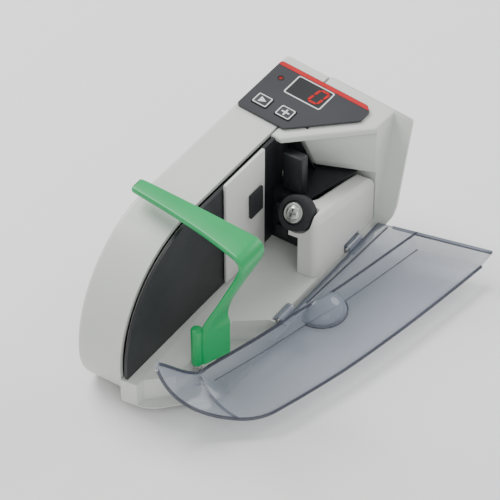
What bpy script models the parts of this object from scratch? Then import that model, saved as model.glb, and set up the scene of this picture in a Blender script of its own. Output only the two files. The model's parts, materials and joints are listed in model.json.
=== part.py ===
"""Portable banknote counting machine, in metres, +Z up, standing on its feet.

Places are given in millimetres from the head end of the cover hinge: X points out of the body towards
the open cover, Y along the note channel towards the head, Z up. place() turns them into the part's frame.
"""
import math

import bmesh
import bpy
from mathutils import Matrix, Vector
from mathutils.geometry import interpolate_bezier

MM = 0.001
ORIGIN = Vector((2.18, 71.16, 18.0))     # the hinge end, seen from the middle of the footprint
GAP = 0.3                               # between pieces that touch

# body
TABLE_Z = -18.0
BOTTOM_Z = -16.0
SEAM_X = -38.0
HEAD_SEAM_X = -37.7
BACK_X = -63.0
SIDE_X = -0.5
TOP_Z = 61.5                            # top surface at the seam
TOP_SLOPE = -0.105                      # fall of the top surface towards the cover side
WALL = 2.2
END_LEAN = 0.2                          # the head's end wall leans outwards
END_Y = 3.0                             # its foot
SHOULDER_Y = -100.0                     # the flat top ends here
NOSE_Y = -156.0                         # round end of the body
NOSE_Z = 5.0
HEAD_SIDE_X = 9.8
HEAD_CORNER = 8.0
TOP_ROUND = 1.4                         # soft edge of the head's top
FLOOR_EDGE_X = -17.5                    # channel floor beside the lever pocket
POCKET_Z = -13.0                        # floor of the lever pocket
POCKET_Y = -96.0

# note channel and throat
WALL_X = -36.9                          # face of the fixed half's wall beside the channel
BASE_SIDE_X = -0.67                     # the base's side, under the hinge
BASE_NOSE = ((-24.0, -154.5, 16.0), (BASE_SIDE_X, -130.0, 12.0))     # x, y, radius of the base's round end
LIP_Z = 59.0                            # underside of the lip over the throat
DECK_Z = 52.2                           # floor of the opening below the control panel
THROAT_Z = 33.3
HEAD_FRONT_Y = -34.0
WALL_FOOT_Y = -12.0                      # the slanting wall over the throat, at its foot
WALL_HEAD_Y = -24.2                      # and under the lip
WALL_LEVELS = 6

# flick roller and its drive, along one tilted shaft
ROLLER = Vector((-13.0, -48.2, 34.5))
SHAFT_DIR = Vector((0.0, 0.79, -0.613)).normalized()
SHAFT_UP = Vector((0.0, 0.613, 0.79)).normalized()
ROLLER_R = 8.7
ROLLER_HALF = 4.15
SHAFT_R = 1.5
BLOCK_FALL = 0.2                        # the block's top falls towards the head
MOTOR_OFFSET = -13.5
ROLLER_PULLEY_R = 6.0
MOTOR_PULLEY_R = 3.0
PULLEY_S = 24.0
BRACKET_S = 28.0

# cover, lever, panel
COVER_T = 1.7
COVER_DEPTH = 8.0
COVER_LEAN = 0.24                       # the cover's rim slants away from the head
EDGE_REACH = 62.8                       # free edge of the open cover at EDGE_Y
EDGE_Y = 14.0
EDGE_TAPER = 39.0
EDGE_CURL = 9.0
EDGE_SPAN = 170.0
RIDGE = ((3.0, 19.4), (-71.0, 5.0), (-99.0, -1.9), (-130.0, -10.0))     # (y, x) of the step in the open cover
SKIRT_INNER = ((-10.5, -130.5, 0.0), (-12.0, -138.0, 2.0), (-14.0, -149.0, 17.0), (-15.5, -157.5, 25.0))
SKIRT_OUTER = ((24.0, -137.5, -8.0), (2.5, -148.5, -8.0), (-13.0, -158.5, 1.0), (-16.5, -160.0, 25.5))
SKIRT_STEPS = 8
SKIRT_BULGE = 3.0
HINGE_YS = (-19.0, -78.0)
HINGE_PIN_R = 0.9
KNUCKLE_BORE_R = 1.2
KNUCKLE_R = 2.4
KNUCKLE_HALF = 5.5
LEVER_PIN = Vector((-14.7, -128.3, 0.0))
LEVER_TURN = 0.38                       # the pad stands askew, turned towards the cover
SPRING_LOW = -12.3
SPRING_HEIGHT = 12.4
PANEL_LIFT = 0.35
PANEL_T = 1.2
BUTTON_LIFT = 0.5


def place(point):
    """A point in the hinge frame, in millimetres, as the part's own metres."""
    return (Vector(point) + ORIGIN) * MM


def clear_scene():
    for found in list(bpy.data.objects):
        bpy.data.objects.remove(found)


def material(name, colour, roughness, metallic=0.0):
    made = bpy.data.materials.new(name)
    made.use_nodes = True
    shader = made.node_tree.nodes["Principled BSDF"]
    shader.inputs["Base Color"].default_value = (*colour, 1.0)
    shader.inputs["Roughness"].default_value = roughness
    shader.inputs["Metallic"].default_value = metallic
    return made


def make_materials():
    return {
        "shell": material("shell", (0.58, 0.60, 0.57), 0.45),
        "white": material("white", (0.66, 0.67, 0.65), 0.4),
        "black": material("black", (0.015, 0.017, 0.02), 0.5),
        "rubber": material("rubber", (0.02, 0.02, 0.022), 0.8),
        "panel": material("panel", (0.07, 0.075, 0.085), 0.4),
        "window": material("window", (0.03, 0.03, 0.035), 0.15),
        "green": material("green", (0.07, 0.5, 0.25), 0.4),
        "cover": material("cover", (0.35, 0.38, 0.43), 0.1),
        "steel": material("steel", (0.6, 0.6, 0.6), 0.3, 1.0),
        "brass": material("brass", (0.7, 0.5, 0.2), 0.35, 1.0),
        "board": material("board", (0.02, 0.2, 0.08), 0.5),
        "led": material("led", (0.4, 0.02, 0.02), 0.2),
    }


def add_mesh(name, points, faces, finish):
    """One object from points in the hinge frame, with its faces turned outwards."""
    mesh = bpy.data.meshes.new(name)
    mesh.from_pydata([place(p) for p in points], [], faces)
    work = bmesh.new()
    work.from_mesh(mesh)
    bmesh.ops.remove_doubles(work, verts=work.verts, dist=0.000001)
    bmesh.ops.recalc_face_normals(work, faces=work.faces)
    work.to_mesh(mesh)
    work.free()
    mesh.materials.append(finish)
    made = bpy.data.objects.new(name, mesh)
    bpy.context.scene.collection.objects.link(made)
    return made


def loft(name, rings, finish):
    """A closed solid through rings of equally many points."""
    count = len(rings[0])
    points = [p for ring in rings for p in ring]
    faces = []
    for level in range(len(rings) - 1):
        for i in range(count):
            j = (i + 1) % count
            low, high = level * count, (level + 1) * count
            faces.append((low + i, low + j, high + j, high + i))
    faces.append(tuple(range(count))[::-1])
    faces.append(tuple(range((len(rings) - 1) * count, len(rings) * count)))
    return add_mesh(name, points, faces, finish)


def box(name, low, high, finish):
    (x0, y0, z0), (x1, y1, z1) = low, high
    outline = [(x0, y0), (x1, y0), (x1, y1), (x0, y1)]
    return loft(name, [[(x, y, z) for x, y in outline] for z in (z0, z1)], finish)


def rod(name, start, end, radius, finish, sides=24, end_radius=None):
    """A round bar between two points; end_radius makes it a cone."""
    start, end = Vector(start), Vector(end)
    along = (end - start).normalized()
    across = along.orthogonal().normalized()
    other = along.cross(across)
    rings = []
    for centre, r in ((start, radius), (end, end_radius or radius)):
        turns = [2 * math.pi * i / sides for i in range(sides)]
        rings.append([centre + r * (math.cos(t) * across + math.sin(t) * other) for t in turns])
    return loft(name, rings, finish)


def turned(name, start, along, profile, finish, sides=24):
    """A solid of revolution: profile holds (distance along, radius) pairs from end to end."""
    start, along = Vector(start), Vector(along).normalized()
    across = along.orthogonal().normalized()
    other = along.cross(across)
    rings = []
    for distance, radius in profile:
        turns = [2 * math.pi * i / sides for i in range(sides)]
        centre = start + distance * along
        rings.append([centre + radius * (math.cos(t) * across + math.sin(t) * other) for t in turns])
    return loft(name, rings, finish)


def as_tool(tool):
    tool.hide_render = True
    tool.display_type = "WIRE"


def boolean(target, operation, tools):
    for tool in tools:
        as_tool(tool)
        change = target.modifiers.new(f"{operation.lower()}_{tool.name}", "BOOLEAN")
        change.operation = operation
        change.solver = "EXACT"
        change.object = tool
    return target


def cut(target, *tools):
    return boolean(target, "DIFFERENCE", tools)


def unite(target, *tools):
    return boolean(target, "UNION", tools)


def ease(target, width, segments=2, angle=40):
    """Rounds the edges that are sharper than angle."""
    change = target.modifiers.new("ease", "BEVEL")
    change.width = width * MM
    change.segments = segments
    change.limit_method = "ANGLE"
    change.angle_limit = math.radians(angle)
    return target


def arc(centre, radii, start, end, steps):
    """Points on an ellipse's arc, angles in degrees."""
    turns = [math.radians(start + (end - start) * i / steps) for i in range(steps + 1)]
    return [(centre[0] + radii[0] * math.cos(t), centre[1] + radii[1] * math.sin(t)) for t in turns]


def rounded(corners, steps=4):
    """An outline whose corners (x, y, radius) are turned into arcs."""
    outline = []
    for i, (x, y, radius) in enumerate(corners):
        here = Vector((x, y))
        before = (Vector(corners[i - 1][:2]) - here).normalized()
        after = (Vector(corners[(i + 1) % len(corners)][:2]) - here).normalized()
        if radius == 0:
            outline.append((x, y))
            continue
        half = before.angle(after) / 2
        reach = radius / math.tan(half)
        middle = here + (before + after).normalized() * radius / math.sin(half)
        first, last = here + before * reach - middle, here + after * reach - middle
        swing = first.angle_signed(last)
        for k in range(steps + 1):
            turn = Matrix.Rotation(-swing * k / steps, 2)
            outline.append(tuple(middle + turn @ first))
    return outline


def inset(outline, distance):
    """The outline, given counter-clockwise, moved inwards by distance."""
    moved = []
    for i, point in enumerate(outline):
        here = Vector(point)
        back = (here - Vector(outline[i - 1])).normalized()
        ahead = (Vector(outline[(i + 1) % len(outline)]) - here).normalized()
        normals = [Vector((-d.y, d.x)) for d in (back, ahead)]
        middle = (normals[0] + normals[1]).normalized()
        moved.append(tuple(here + middle * distance / max(middle.dot(normals[0]), 0.3)))
    return moved


def soft_prism(name, outline, levels, point_at, finish, low_round=0.0, high_round=0.0, steps=3):
    """A prism between two levels whose end edges can be rounded. point_at(u, v, level) places a point."""
    low, high = levels
    sign = 1 if high > low else -1
    turns = [math.pi / 2 * i / steps for i in range(steps + 1)]
    rings = []
    if low_round:
        rings += [(low + sign * low_round * (1 - math.sin(t)), low_round * (1 - math.cos(t)))
                  for t in reversed(turns)]
    else:
        rings.append((low, 0.0))
    if high_round:
        rings += [(high - sign * high_round * (1 - math.sin(t)), high_round * (1 - math.cos(t)))
                  for t in turns]
    else:
        rings.append((high, 0.0))
    made = [[point_at(u, v, level) for u, v in inset(outline, back)] for level, back in rings]
    return loft(name, made, finish)


def end_y(z):
    return END_Y + (z - BOTTOM_Z) * END_LEAN


def groove_y(z):
    """The step in the head's side that the closed cover's rim lies against."""
    return 0.6 + 0.25 * max(z, 0.0)


def side_x(z):
    """The head's side bulges out to meet the closed cover, and curves in below."""
    if z > 12.0:
        return HEAD_SIDE_X
    drop = (12.0 - z) / 28.0
    return HEAD_SIDE_X - 19.0 * drop ** 1.8


def tilted(x, y, z):
    """The body's height falls evenly towards the cover side."""
    share = (z - BOTTOM_Z) / (TOP_Z - BOTTOM_Z)
    return (x, y, z + share * TOP_SLOPE * (x - SEAM_X))


def top_z(x):
    return TOP_Z + TOP_SLOPE * (x - SEAM_X)


def side_view(last_y=None):
    """The body's outline seen from the side, counter-clockwise in (Y, Z)."""
    nose = arc((SHOULDER_Y, NOSE_Z), (SHOULDER_Y - NOSE_Y, TOP_Z - NOSE_Z), 90, 180, 24)
    under = arc((-143.0, NOSE_Z), (-143.0 - NOSE_Y, NOSE_Z - BOTTOM_Z), 180, 270, 10)[1:]
    if last_y is None:
        heel = rounded([(-143.0, BOTTOM_Z, 0), (END_Y, BOTTOM_Z, 3.0), (end_y(TOP_Z), TOP_Z, 2.5),
                        (SHOULDER_Y, TOP_Z, 0)])[1:-1]
    else:
        heel = [(last_y, BOTTOM_Z), (last_y, TOP_Z)]
    return nose + under + heel


def along_x(y, z, x):
    return tilted(x, y, z)


def plan(x, y, z):
    return (x, y, z)


def make_rear_shell(m):
    shell = soft_prism("rear_shell", side_view(), (SEAM_X - GAP, BACK_X), along_x, m["shell"],
                       high_round=2.4, steps=4)
    hollow = soft_prism("rear_hollow", inset(side_view(), WALL), (SEAM_X + 2, BACK_X + WALL), along_x, m["shell"])
    deck = box("rear_deck_cut", (-57.5, -25.5, 50), (SEAM_X + 2, 8.0, 70), m["shell"])
    door = box("door_cut", (BACK_X - 2, -99.3, -7.3), (-58, -37.7, 51.3), m["shell"])
    jack = rod("jack_cut", (-51, 0, 20), (-51, 20, 20), 4.3, m["shell"])
    switch = box("switch_cut", (-56.3, 0, 36.7), (-45.7, 30, 43.3), m["shell"])
    return cut(shell, hollow, deck, door, jack, switch)


def head_plan(z, front):
    """The head's outline seen from above at one height, counter-clockwise from the seam."""
    side, end = side_x(z), end_y(z)
    inner = min(SIDE_X, side - 0.2)
    step = max(min(groove_y(z), end - 1.2), 1.1)
    radius = min(HEAD_CORNER, (end - step) * 0.8)
    corner = arc((side - radius, end - radius), (radius, radius), 0, 90, 6)
    return front + [(inner, step), (side, step)] + corner + [(HEAD_SEAM_X, end)]


def throat_wall():
    """Heights and places of the slanting wall, from foot to lip."""
    shares = [i / WALL_LEVELS for i in range(WALL_LEVELS + 1)]
    return [(THROAT_Z + (LIP_Z - THROAT_Z) * t, WALL_FOOT_Y + (WALL_HEAD_Y - WALL_FOOT_Y) * t) for t in shares]


def make_head(name, finish):
    """The head: low behind the throat, then a wall that slants back over it, then a thin lip."""
    rings = []
    for z in (BOTTOM_Z + 0.2, -11.0, -6.0, 0.0, 6.0, 12.0, 22.0, THROAT_Z - 0.01):
        inner = min(SIDE_X, side_x(z) - 0.2)
        rings.append((z, head_plan(z, [(HEAD_SEAM_X, 1.0), (-20.0, 1.0), (inner, 1.0)])))
    for z, wall_y in throat_wall():
        rings.append((z, head_plan(z, [(HEAD_SEAM_X, wall_y), (-26.0, wall_y), (SIDE_X, 0.4)])))
    lip = [(HEAD_SEAM_X, HEAD_FRONT_Y), (-32.0, HEAD_FRONT_Y), (SIDE_X, 0.6)]
    rings += [(z, head_plan(z, lip)) for z in (LIP_Z + 0.01, TOP_Z - TOP_ROUND)]
    edge = head_plan(TOP_Z, lip)
    for angle in (30, 60, 90):
        t = math.radians(angle)
        rings.append((TOP_Z - TOP_ROUND * (1 - math.sin(t)), inset(edge, TOP_ROUND * (1 - math.cos(t)))))
    return loft(name, [[tilted(x, y, z) for x, y in outline] for z, outline in rings], finish)


def make_head_hollow(name, finish):
    """The room inside the head, open towards the rear shell."""
    open_x, side = SEAM_X - 3.0, SIDE_X - WALL
    rings = []
    for z in (14.0, 24.0, THROAT_Z + WALL - 0.41):
        rings.append((z, [(open_x, 3.2), (-26.0, 3.2), (side, 3.2), (side, end_y(z) - WALL), (open_x, end_y(z) - WALL)]))
    for z, wall_y in throat_wall():
        front = wall_y + WALL
        level = z + WALL * (LIP_Z - z) / (LIP_Z - THROAT_Z) - 0.4
        end = end_y(level) - WALL
        rings.append((level, [(open_x, front), (-26.0, front), (side, 3.2), (side, end), (open_x, end)]))
    return loft(name, [[tilted(x, y, z) for x, y in outline] for z, outline in rings], finish)


def make_front_shell(m):
    plan_outline = rounded([(SEAM_X, NOSE_Y - 0.5, 0), *BASE_NOSE, (BASE_SIDE_X, 2.0, 0), (SEAM_X, 2.0, 0)], 10)
    base = soft_prism("front_shell", plan_outline, (BOTTOM_Z, 0.0), plan, m["shell"], low_round=4.0)
    wall = soft_prism("wall_add", inset(side_view(-12.0), 3.0), (SEAM_X + 0.15, WALL_X), along_x, m["shell"])
    unite(base, wall, make_head("head_add", m["shell"]))

    pocket = [(-18.5, -140.0), (-24.5, -146.5), (-29.0, -150.5), (-31.5, -165.0), (8.0, -165.0), (8.0, -85.5),
              (-3.5, -85.5), (FLOOR_EDGE_X, POCKET_Y)]
    lever_pocket = soft_prism("pocket_cut", pocket, (POCKET_Z, 5.0), plan, m["shell"])
    under = [(-40.0, -140.0), (-26.0, -140.0), (-20.5, -132.0), (-20.5, -98.0), (-6.0, -84.0), (-6.0, -1.0),
             (-40.0, -1.0)]
    tools = [
        lever_pocket,
        make_head_hollow("head_hollow", m["shell"]),
        soft_prism("base_hollow", under, (BOTTOM_Z + WALL, -2.6), plan, m["shell"]),
        box("front_deck_cut", (SEAM_X - 2, -20.5, DECK_Z), (-26.0, 8.0, 70), m["shell"]),
        box("add_button_cut", (SEAM_X - 2, -25.5, DECK_Z), (-33.0, -14, 70), m["shell"]),
        rod("lever_pin_cut", (*LEVER_PIN.xy, -15.0), (*LEVER_PIN.xy, 0), 1.3, m["shell"], 12),
    ]
    tools += [box(f"knuckle_cut_{i}", (-3.2, y - 6.5, -3.2), (3, y + 6.5, 3), m["shell"])
              for i, y in enumerate(HINGE_YS)]
    return cut(base, *tools)


def roller_point(s, lift=0.0, aside=0.0):
    """A point on the roller's shaft line, s millimetres behind the roller's middle."""
    return ROLLER + s * SHAFT_DIR + lift * SHAFT_UP + Vector((aside, 0, 0))


def make_roller_housing(m):
    """The pale block beside the throat, hollow inside, scooped out round the flick roller."""
    outline = rounded([(-15.5, -52.0, 0), (-0.8, -50.5, 3.5), (-0.8, 0.2, 0), (-11.0, -0.6, 0), (-12.5, -33.0, 0),
                       (-15.5, -40.0, 0)], 5)
    rings = []
    for z, back in ((GAP, 0.0), (23.0, 0.0), (24.8, 0.3), (26.3, 1.1), (27.2, 2.2), (27.5, 3.4)):
        fall = BLOCK_FALL if z > 1 else 0.0
        rings.append([(x, y, z - fall * y) for x, y in inset(outline, back)])
    block = loft("roller_housing", rings, m["white"])
    room = [(-17.0, -45.5), (-3.0, -45.5), (-3.0, -2.8), (-17.0, -2.8)]
    hollow = loft("housing_hollow", [[(x, y, -1.0) for x, y in room],
                                     [(x, y, 24.6 - BLOCK_FALL * y) for x, y in room]], m["white"])
    recess = box("recess_cut", (-17, -56, -1), (-10.5, -44, 22.5), m["white"])
    scoop = rod("scoop_cut", roller_point(-26), roller_point(4.8), 9.6, m["white"], 40)
    bore = rod("front_bore", roller_point(3), roller_point(18), 3.0, m["white"])
    knuckle = box("housing_knuckle_cut", (-3.2, HINGE_YS[0] - 6.5, -3.2), (3, HINGE_YS[0] + 6.5, 3), m["white"])
    return cut(block, scoop, hollow, recess, bore, knuckle)


def make_roller(m):
    hub = turned("roller_hub", roller_point(-ROLLER_HALF), SHAFT_DIR,
                 [(0.4, 5.6), (2 * ROLLER_HALF - 0.4, 5.6)], m["black"])
    cut(hub, rod("hub_bore", roller_point(-9), roller_point(9), SHAFT_R + 0.2, m["black"]))
    tyre = turned("flick_roller", roller_point(-ROLLER_HALF), SHAFT_DIR,
                  [(0, 7.9), (0.8, ROLLER_R), (2 * ROLLER_HALF - 0.8, ROLLER_R), (2 * ROLLER_HALF, 7.9)],
                  m["rubber"], 32)
    cut(tyre, rod("tyre_bore", roller_point(-9), roller_point(9), 5.8, m["rubber"]))
    turned("roller_shaft", roller_point(-3.4), SHAFT_DIR, [(0, SHAFT_R), (35.5, SHAFT_R)], m["steel"])
    screw = turned("roller_screw", roller_point(-ROLLER_HALF - 2.3), SHAFT_DIR,
                   [(0, 2.6), (0.5, 3.9), (1.2, 4.6), (2.0, 4.8), (2.3, 4.8)], m["steel"])
    slots = [box(f"phillips_{i}", (-half_x, -half_y, -0.87), (half_x, half_y, 0.87), m["steel"])
             for i, (half_x, half_y) in enumerate(((2.17, 0.41), (0.43, 2.13)))]
    for slot in slots:
        turn = SHAFT_DIR.to_track_quat("Z", "Y").to_matrix().to_4x4()
        centre = roller_point(-ROLLER_HALF - 2.3)
        slot.data.transform(Matrix.Translation(-(ORIGIN * MM)))
        slot.data.transform(Matrix.Translation(place(centre)) @ turn)
    cut(screw, *slots)
    for name, s in (("front_bearing", 6.6), ("rear_bearing", BRACKET_S - 1.0)):
        ring = turned(name, roller_point(s), SHAFT_DIR, [(0, 2.7), (3.0, 2.7)], m["brass"])
        cut(ring, rod(f"{name}_bore", roller_point(s - 2), roller_point(s + 6), SHAFT_R + 0.15, m["brass"]))
    wheel = turned("roller_pulley", roller_point(PULLEY_S - 2.2), SHAFT_DIR,
                   [(0, 6.8), (0.5, 6.8), (0.7, ROLLER_PULLEY_R), (3.5, ROLLER_PULLEY_R), (3.7, 6.8), (4.2, 6.8)],
                   m["black"])
    cut(wheel, rod("wheel_bore", roller_point(18), roller_point(30), SHAFT_R + 0.15, m["black"]))


def make_motor(m):
    low = roller_point(BRACKET_S + 1.4, aside=MOTOR_OFFSET)
    turned("motor", low, SHAFT_DIR, [(0, 6.8), (0.6, 7.2), (15.0, 7.2), (15.6, 6.4), (16.6, 2.6), (17.2, 2.6)],
           m["steel"])
    turned("motor_pulley", roller_point(PULLEY_S - 2.2, aside=MOTOR_OFFSET), SHAFT_DIR,
           [(0, 3.8), (0.5, 3.8), (0.7, MOTOR_PULLEY_R), (3.5, MOTOR_PULLEY_R), (3.7, 3.8), (4.2, 3.8)],
           m["brass"])
    belt_points = []
    spread = math.degrees(math.asin((ROLLER_PULLEY_R - MOTOR_PULLEY_R) / -MOTOR_OFFSET))
    for radius_gain in (1.3, 0.3):
        big = arc((0, 0), (ROLLER_PULLEY_R + radius_gain,) * 2, -90 - spread, 90 + spread, 16)
        small = arc((MOTOR_OFFSET, 0), (MOTOR_PULLEY_R + radius_gain,) * 2, 90 + spread, 270 - spread, 10)
        belt_points.append(big + small)
    outer, inner = belt_points
    span = (PULLEY_S - 1.3, PULLEY_S + 1.1)
    belt = loft("drive_belt", [[roller_point(s, v, u) for u, v in outer] for s in span], m["rubber"])
    core = loft("belt_core", [[roller_point(s, v, u) for u, v in inner] for s in (span[0] - 2, span[1] + 2)],
                m["rubber"])
    cut(belt, core)
    plate = [(-34.0 + 11.5, -12.0), (5.0, -12.0), (5.0, 6.5), (-34.0 + 11.5, 6.5)]
    bracket = loft("motor_bracket", [[roller_point(s, v, u) for u, v in plate]
                                     for s in (BRACKET_S - 0.9, BRACKET_S + 0.9)], m["black"])
    cut(bracket, rod("bearing_seat", roller_point(20), roller_point(36), 3.0, m["black"]),
        rod("motor_seat", roller_point(20, aside=MOTOR_OFFSET), roller_point(36, aside=MOTOR_OFFSET), 1.6,
            m["black"]))


def make_throat(m):
    liner = box("throat_liner", (-35.8, -36.4, GAP), (-16.0, -34.9, 30.2), m["black"])
    shelf = loft("liner_shelf", [[(-35.8, -36.4, z), (-16.2, -36.4, z), (-16.0, -33.0, z), (-9.2, -5.5, z),
                                  (-9.2, 0.2, z), (-35.8, 0.2, z)] for z in (28.9, 30.4)], m["black"])
    back = loft("liner_back", [[(-35.8, y - 2.6, z), (-25.0, y - 2.6, z), (-26.3, y - 1.0, z), (-35.8, y - 1.0, z)]
                               for y, z in ((-11.2, 30.0), (-24.4, LIP_Z - 2.4))], m["black"])
    unite(liner, shelf, back)
    ease(box("guide_bracket", (-31.0, -34.0, 30.8), (-20.0, -28.5, 53.0), m["black"]), 0.8)
    channel = soft_prism("channel_liner", inset(side_view(-27.2), 0.8), (WALL_X + GAP, -34.9), along_x, m["black"])
    cut(channel, box("channel_foot_cut", (-40, -170, -20), (-30, 0, GAP), m["black"]),
        box("channel_end_cut", (-40, -37, -5), (-30, 0, 31.0), m["black"]),
        box("channel_lip_cut", (-40, -34.5, LIP_Z - 1.0), (-30, 0, 70), m["black"]))
    ease(box("note_guide_plate", (-34.6, -78.0, 2.0), (-32.8, -46.0, 63.0), m["white"]), 0.5)
    ease(box("sensor_emitter", (-31.0, -39.6, 6.0), (-24.0, -36.7, 12.0), m["black"]), 0.5)
    ease(box("sensor_receiver", (-31.0, -39.6, 20.0), (-24.0, -36.7, 26.0), m["black"]), 0.5)
    ease(box("friction_pad", (-32.5, -60.0, 30.0), (-31.0, -50.0, 44.0), m["rubber"]), 0.4)


def panel_point(x, y, lift):
    """A point above the tilted top surface."""
    return (x, y, top_z(x) + lift)


def on_panel(name, outline, low, high, finish):
    return loft(name, [[panel_point(x, y, lift) for x, y in outline] for lift in (low, high)], finish)


def rectangle(x0, y0, x1, y1, radius=0.0):
    corners = [(x0, y0), (x1, y0), (x1, y1), (x0, y1)]
    return rounded([(x, y, radius) for x, y in corners], 3) if radius else corners


START = (-56.8, -23.4, -47.9, -15.2)
ADD = (-43.7, -23.6, -34.8, -15.3)
WINDOW = (-48.2, -7.5, -28.2, 6.5)


def grown(rect, by):
    return (rect[0] - by, rect[1] - by, rect[2] + by, rect[3] + by)


def make_panel(m):
    outline = rounded([(-61.0, -28.5, 1.5), (-34.5, -28.5, 1.0), (-9.0, -0.7, 1.0), (-9.0, 7.0, 1.0), (-12.0, 10.2, 1.5),
                       (-61.0, 10.2, 1.5)], 3)
    plate = on_panel("control_panel", outline, PANEL_LIFT, PANEL_LIFT + PANEL_T, m["panel"])
    tools = [on_panel(f"panel_cut_{i}", rectangle(*grown(r, 0.0), 1.0), -2, 4, m["panel"])
             for i, r in enumerate((START, ADD, WINDOW))]
    tools.append(rod("led_cut", panel_point(-54.5, -0.5, -2), panel_point(-54.5, -0.5, 4), 1.3, m["panel"]))
    cut(plate, *tools)
    on_panel("display_window", rectangle(*grown(WINDOW, -GAP), 0.8), PANEL_LIFT + 0.2, PANEL_LIFT + PANEL_T,
             m["window"])
    for name, rect in (("start_button", START), ("add_button", ADD)):
        cap = on_panel(name, rectangle(*grown(rect, -0.35), 0.8), -2.6, PANEL_LIFT + PANEL_T + BUTTON_LIFT, m["panel"])
        ease(cap, 0.25, angle=60)
        middle = ((rect[0] + rect[2]) / 2, (rect[1] + rect[3]) / 2)
        switch = (middle[0] - 2.5, middle[1] - 2.5, middle[0] + 2.5, middle[1] + 2.5)
        on_panel(f"{name}_switch", rectangle(*switch), -6.0, -3.7, m["black"])
    rod("low_battery_led", panel_point(-54.5, -0.5, -4.5), panel_point(-54.5, -0.5, PANEL_LIFT + PANEL_T), 1.0,
        m["led"], 16)
    on_panel("display_module", rectangle(-47.5, -7.0, -29.0, 6.0), -5.9, PANEL_LIFT - 0.2, m["window"])
    on_panel("display_board", rectangle(-57.0, -20.0, -27.5, 7.0), -7.8, -6.3, m["board"])


def make_power(m):
    door = box("battery_door", (BACK_X + 0.05, -99.0, -7.0), (BACK_X + 2.0, -38.0, 51.0), m["shell"])
    grip = box("door_grip_cut", (BACK_X - 1, -74, 44), (BACK_X + 0.9, -63, 47), m["shell"])
    cut(door, grip)
    tray = box("battery_tray", (-60.3, -98.0, -6.0), (-44.0, -39.0, 50.0), m["black"])
    inside = box("tray_hollow", (-62, -96.5, -4.5), (-45.5, -40.5, 48.5), m["black"])
    cut(tray, inside)
    for i in range(4):
        z = 2.1 + 13.3 * i
        end, sign = ((-96.2, 1) if i % 2 else (-40.8, -1))
        turned(f"battery_spring_{i + 1}", (-53, end, z), (0, sign, 0), [(0, 4.2), (3.0, 3.0), (5.5, 1.8)],
               m["steel"], 12)
    box("positive_contact", (-58, -96.2, 46.6), (-47, -95.6, 48.2), m["brass"])
    jack = turned("dc_jack", (-51, end_y(20) + 1.6, 20), (0, -1, 0), [(0, 3.6), (0.5, 4.0), (11, 4.0)], m["black"])
    cut(jack, rod("jack_bore", (-51, 20, 20), (-51, -3, 20), 2.8, m["black"]))
    box("power_switch", (-53.2, end_y(40) - 2.6, 37.6), (-48.8, end_y(43) + 1.2, 42.4), m["black"])
    box("switch_frame", (-55.9, end_y(40) - 6.5, 37.0), (-46.1, end_y(40) - 3.0, 43.0), m["black"])
    box("main_board", (-60.2, -36.0, 0.0), (-58.6, 2.0, 48.0), m["board"])


def make_feet(m):
    spots = [(-53, -8), (-53, -132), (-14, -8), (-26, -132)]
    for i, (x, y) in enumerate(spots, 1):
        turned(f"foot_{i}", (x, y, TABLE_Z), (0, 0, 1), [(0, 4.2), (0.4, 4.6), (BOTTOM_Z - TABLE_Z - GAP, 4.6)],
               m["rubber"], 20)


def make_lever(m):
    """One flat strip of green plastic: pad, leaning strut and the arm across the channel."""
    stations = [  # x, z, thickness direction (x, z), low y, high y, turn towards the cover
        (-61.0, 71.8, 0, 1, -111.0, -104.5, 0), (-60.0, 71.8, 0, 1, -112.2, -103.8, 0),
        (-40.0, 71.8, 0, 1, -114.8, -104.5, 0), (-18.0, 71.8, 0, 1, -118.5, -105.5, 0),
        (2.0, 71.8, 0, 1, -123.5, -106.7, 0), (5.5, 71.2, 0.45, 0.9, -124.5, -107.0, 0),
        (7.3, 69.3, 0.9, 0.45, -124.8, -107.3, 0), (7.0, 66.0, 0.92, -0.38, -124.6, -108.0, 0),
        (3.0, 56.5, 0.92, -0.38, -123.2, -110.5, 0), (-1.5, 46.5, 0.92, -0.38, -122.8, -112.6, 0),
        (-6.0, 36.0, 0.92, -0.38, -124.0, -113.8, 0), (-10.4, 26.0, 0.94, -0.33, -126.5, -114.3, 0.2),
        (-12.2, 20.5, 1, 0, -128.0, -114.3, LEVER_TURN), (-12.2, 1.0, 1, 0, -128.4, -114.3, LEVER_TURN)]
    rings = []
    for x, z, out_x, out_z, low_y, high_y, turn in stations:
        side = Vector((out_x, 0, out_z)).normalized() * 1.5
        low, high = Vector((x, low_y, z)), Vector((x + turn * (high_y - low_y), high_y, z))
        rings.append([low + side, high + side, high - side, low - side])
    lever = loft("clamp_lever", rings, m["green"])
    barrel = rod("lever_barrel", (*LEVER_PIN.xy, 1.0), (*LEVER_PIN.xy, 22.0), 2.9, m["green"], 20)
    unite(lever, barrel)
    cut(lever, rod("lever_bore", (*LEVER_PIN.xy, -1), (*LEVER_PIN.xy, 19), 1.3, m["green"], 16))
    rod("lever_pin", (*LEVER_PIN.xy, -15.0), (*LEVER_PIN.xy, 18.0), 1.0, m["steel"], 16)
    turns, steps, sides = 5, 12, 6
    rings = []
    for i in range(turns * steps + 1):
        t = 2 * math.pi * i / steps
        out = Vector((math.cos(t), math.sin(t), 0))
        centre = Vector((*LEVER_PIN.xy, SPRING_LOW + SPRING_HEIGHT * i / (turns * steps))) + 1.9 * out
        rings.append([centre + 0.3 * (math.cos(a) * out + math.sin(a) * Vector((0, 0, 1)))
                      for a in (2 * math.pi * k / sides for k in range(sides))])
    loft("lever_spring", rings, m["steel"])


def ridge_x(y):
    for (y1, x1), (y0, x0) in zip(RIDGE, RIDGE[1:]):
        if y >= y0:
            return x0 + (x1 - x0) * (y - y0) / (y1 - y0)
    return RIDGE[-1][1]


def outer_x(y):
    """The open cover's free edge: nearly straight, then curving in towards the round end."""
    share = (EDGE_Y - y) / EDGE_SPAN
    return EDGE_REACH - EDGE_TAPER * share - EDGE_CURL * max(share, 0.0) ** 5


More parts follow.
